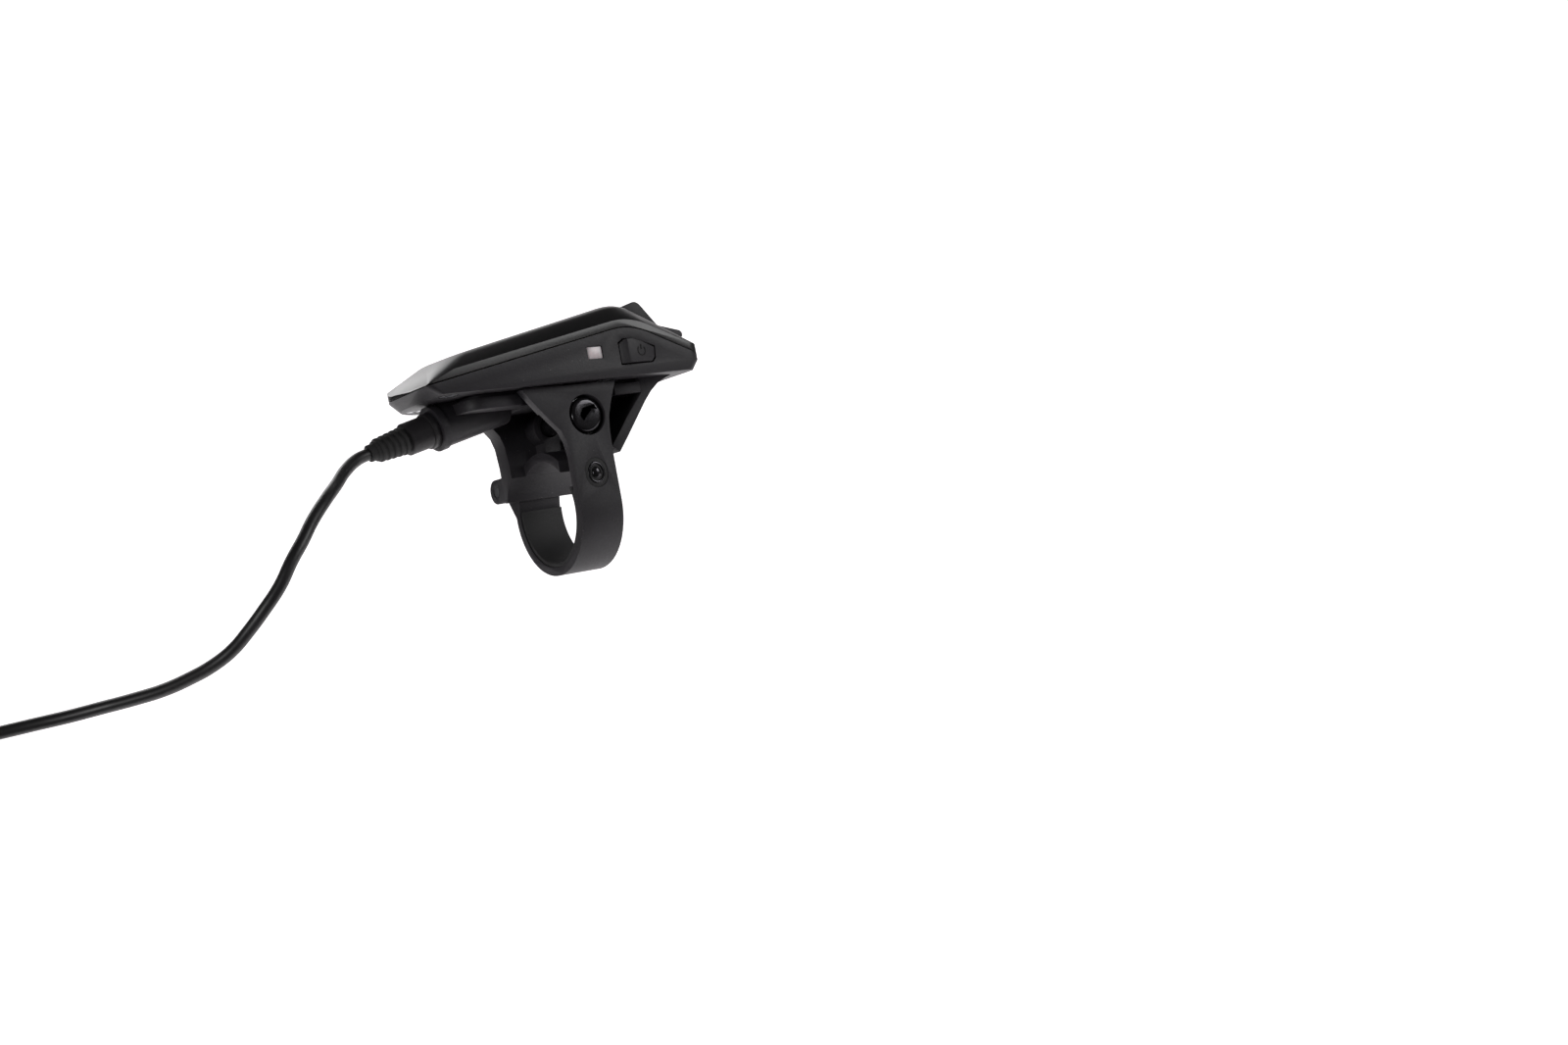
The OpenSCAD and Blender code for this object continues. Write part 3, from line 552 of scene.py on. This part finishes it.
bpy.ops.object.select_all(action="DESELECT")
bpy.ops.mesh.primitive_torus_add(major_radius=SYMBOL_R * MM, minor_radius=STROKE / 2 * MM,
                                 major_segments=RING_STEPS, minor_segments=8)
symbol = bpy.context.object
symbol.name = "power_symbol"
bpy.ops.object.mode_set(mode="EDIT")
bpy.ops.mesh.select_mode(type="FACE")
bpy.ops.mesh.select_all(action="DESELECT")
bpy.ops.object.mode_set(mode="OBJECT")
half_gap = math.tau / RING_STEPS * GAP_STEPS
for face in symbol.data.polygons:
    face.select = abs(math.atan2(face.center.x, face.center.y)) < half_gap
bpy.ops.object.mode_set(mode="EDIT")
bpy.ops.mesh.delete(type="FACE")
bpy.ops.mesh.select_mode(type="EDGE")
bpy.ops.mesh.select_all(action="SELECT")
bpy.ops.mesh.region_to_loop()
bpy.ops.mesh.edge_face_add()
bpy.ops.mesh.primitive_cube_add(size=1, location=(0, BAR_MIDDLE * MM, 0),
                                scale=(STROKE * MM, SYMBOL_R * MM, STROKE * MM))
bpy.ops.object.mode_set(mode="OBJECT")
symbol.matrix_world = Matrix.Translation(SYMBOL_AT * MM) @ \
    Matrix.Rotation(BUTTON_SLOPE, 4, "Z") @ Matrix.Rotation(math.radians(90), 4, "X")
apply_place(symbol)
# The symbol's near-black is painted shade, standing for the dark of a groove.
dress(symbol, painted_groove_shade)
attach(symbol, "power_button")
print("symbol faces:", len(symbol.data.polygons))

# %% [markdown]
# ## The clamp
# The strap, its rubber liner and the bracket are copies with mould radii. The strap's edges are
# the softest, because it is handled. The bolt's head has turned edges and a hexagon socket.

# %% Bracket, strap and liner
bracket = copy_of("bracket", "clamp_bracket")
round_edges(bracket, 0.3, 2)
dress(bracket, glass_filled_nylon)
stand_for(bracket, "bracket", "computer")

plate = copy_of("mount_plate", "case_mount_plate")
round_edges(plate, 0.3, 2)
dress(plate, glass_filled_nylon)
stand_for(plate, "mount_plate", "computer")

strap = copy_of("clamp_strap", "bar_strap")
round_edges(strap, 0.4)
dress(strap, glass_filled_nylon)
stand_for(strap, "clamp_strap", "strap")

liner = copy_of("clamp_liner", "strap_liner")
round_edges(liner, 0.15, 2)
dress(liner, moulded_rubber)
stand_for(liner, "clamp_liner", "strap")
print("clamp faces:", [len(p.data.polygons) for p in (bracket, plate, strap, liner)])

# %% Clamp bolt
HEAD_AT = Vector((0.9, -13.7, 18.7))
HEAD_R = 3.8
CROWN_BEVEL = 0.9
bolt = copy_of("clamp_bolt", "socket_bolt")


def on_rim(a, b):
    """True for an edge round the outside of the head's front face."""
    steps = [spot - HEAD_AT for spot in (a, b)]
    return all(abs(step.y) < 0.05 and math.hypot(step.x, step.z) > HEAD_R - 0.1 for step in steps)


print("rim edges:", pick_edges(bolt, on_rim))
bpy.ops.object.mode_set(mode="EDIT")
bpy.ops.mesh.bevel(offset=CROWN_BEVEL * MM, segments=6, affect="EDGES")
bpy.ops.object.mode_set(mode="OBJECT")
round_edges(bolt, 0.2)
dress(bolt, black_oxide)
stand_for(bolt, "clamp_bolt", "bolt")
print("bolt faces:", len(bolt.data.polygons))

# %% [markdown]
# The liner has an oval stud that pokes out through the strap. A ring and a low dome on its end
# are a torus and a sphere, both squashed, and both stay just above the stud's flat face.

# %% Stud end
STUD_AT = Vector((0.6, -13.72, 6.25))
STUD_RING_R, STUD_RING_W, STUD_DOME_R = 1.75, 0.6, 1.1
STUD_STRETCH, STUD_SQUASH = 1.18, 0.5
bpy.ops.object.select_all(action="DESELECT")
bpy.ops.mesh.primitive_torus_add(major_radius=STUD_RING_R * MM,
                                 minor_radius=STUD_RING_W / 2 * MM,
                                 major_segments=40, minor_segments=10)
stud_end = bpy.context.object
stud_end.name = "stud_end"
bpy.ops.object.mode_set(mode="EDIT")
bpy.ops.mesh.primitive_uv_sphere_add(segments=32, ring_count=12, radius=STUD_DOME_R * MM)
bpy.ops.object.mode_set(mode="OBJECT")
stud_end.scale = (1, STUD_STRETCH, STUD_SQUASH)
stud_end.rotation_euler = (math.radians(90), 0, 0)
stud_end.location = STUD_AT * MM
apply_place(stud_end)
bpy.ops.object.shade_smooth()
dress(stud_end, black_oxide)
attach(stud_end, "strap")
print("stud end faces:", len(stud_end.data.polygons))

# %% [markdown]
# ## Small pieces and the ends of the lead
# The light window, the plug, the boots and the tie need only a small radius, so one loop makes
# them all. The window is then set in a little, so that its frame shows a thin edge.

# %% Light window, plug and boots
small_pieces = [
    ("light_window", "light_window_lens", 0.12, light_pipe, "light_window"),
    ("plug_body", "plug_shell", 0.25, moulded_plug, "plug_plastic"),
    ("plug_boot", "plug_boot_ribbed", 0.18, moulded_rubber, "lead_jacket"),
    ("lead_connector", "connector_shell", 0.3, moulded_plug, "plug_plastic"),
    ("connector_boot", "connector_boot_taper", 0.3, moulded_rubber, "lead_jacket"),
    ("coil_tie", "coil_tie_band", 0.4, moulded_rubber, "lead_jacket")]
made = {}
for node, name, width, finish, slot in small_pieces:
    piece = copy_of(node, name)
    round_edges(piece, width, 2)
    dress(piece, finish)
    stand_for(piece, node, "computer")
    made[name] = piece
print("small pieces:", len(made))

# %% Set the light window in
LENS_SET_IN = 0.25
lens = made["light_window_lens"]
only(lens)
bpy.ops.object.mode_set(mode="EDIT")
bpy.ops.mesh.select_all(action="SELECT")
bpy.ops.transform.translate(value=(0, LENS_SET_IN * MM, 0))
bpy.ops.object.mode_set(mode="OBJECT")

# %% [markdown]
# ## Floor and light
# The studio is a pale sweep: a floor that curves up into a wall behind the display, so no horizon
# shows. The sweep glows a little, like a lit table. It is what the glossy cover mirrors at a low
# angle. It stops just in front of the display, and the rest of the room is dim, so black stays
# black. Three soft lamps shape the sides: one in front to the right, one to the left, and one
# high behind, which draws the bright sheen on the cover's left end.

# %% Sweep
FLOOR_Z = -250 * MM
SWEEP_W, SWEEP_D, WALL_H = 3.4, 2.8, 3.2
SWEEP_MIDDLE = 1.3
WALL_BEND = 1.0
facing = math.atan2(-LOOK.x, LOOK.y)
bpy.ops.object.select_all(action="DESELECT")
bpy.ops.mesh.primitive_plane_add(size=1, location=(0, SWEEP_MIDDLE, 0))
sweep = bpy.context.object
sweep.name = "sweep"
sweep.scale = (SWEEP_W, SWEEP_D, 1)
apply_place(sweep)
pick_edges(sweep, lambda a, b: min(a.y, b.y) > SWEEP_MIDDLE / MM)
bpy.ops.object.mode_set(mode="EDIT")
bpy.ops.mesh.extrude_region_move(TRANSFORM_OT_translate={"value": (0, 0, WALL_H)})
bpy.ops.object.mode_set(mode="OBJECT")
bend = sweep.modifiers.new("bend", "BEVEL")
bend.width = WALL_BEND
bend.segments = 16
bend.limit_method = "ANGLE"
bpy.ops.object.modifier_apply(modifier=bend.name)
bpy.ops.object.shade_smooth()
sweep.matrix_world = Matrix.Translation((0, 0, FLOOR_Z)) @ Matrix.Rotation(facing, 4, "Z")
apply_place(sweep)
print("sweep faces:", len(sweep.data.polygons))

# %% Sweep finish
sweep_paint, tree, shader, place = new_finish("lit_white_sweep")
paint = ramp(tree, noise(tree, place, 400, 2), [(0.3, "#FCFAFB"), (0.7, "#FFFDFE")])
feed(tree, shader, Base_Color=paint, Emission_Color=paint, Emission_Strength=0.92, Roughness=0.9)
dress(sweep, sweep_paint)

# %% Room light and lamps
room = bpy.data.worlds.new("studio_room")
bpy.context.scene.world = room
room.use_nodes = True
tree = room.node_tree
dim_room = tree.nodes["Background"]
feed(tree, dim_room, Color=(1, 0.97, 0.99, 1), Strength=0.05)
white_room = add(tree, "ShaderNodeBackground", Color=(1, 1, 1, 1), Strength=1)
seen = add(tree, "ShaderNodeLightPath").outputs["Is Camera Ray"]
blend = add(tree, "ShaderNodeMixShader", Fac=seen)
tree.links.new(dim_room.outputs["Background"], blend.inputs[1])
tree.links.new(white_room.outputs["Background"], blend.inputs[2])
tree.links.new(blend.outputs["Shader"], tree.nodes["World Output"].inputs["Surface"])
bpy.context.scene.view_settings.view_transform = "Standard"


LAMPS_AIM = Vector((0, 0, 0.02))


def soft_lamp(name, place, size, power):
    """A square soft lamp that faces the display, in metres and watts."""
    lamp_data = bpy.data.lights.new(name, "AREA")
    lamp_data.size = size
    lamp_data.energy = power
    lamp = bpy.data.objects.new(name, lamp_data)
    bpy.context.scene.collection.objects.link(lamp)
    turned = (LAMPS_AIM - Vector(place)).to_track_quat("-Z", "Y").to_matrix().to_4x4()
    lamp.matrix_world = Matrix.Translation(place) @ turned


soft_lamp("front_softbox", (1.0, -1.2, 0.6), 0.7, 9)
soft_lamp("left_softbox", (-1.5, -0.7, 0.1), 0.5, 9)
soft_lamp("back_softbox", (-0.1, 1.5, 1.3), 1.1, 9)
print("lamps:", len(bpy.data.lights))
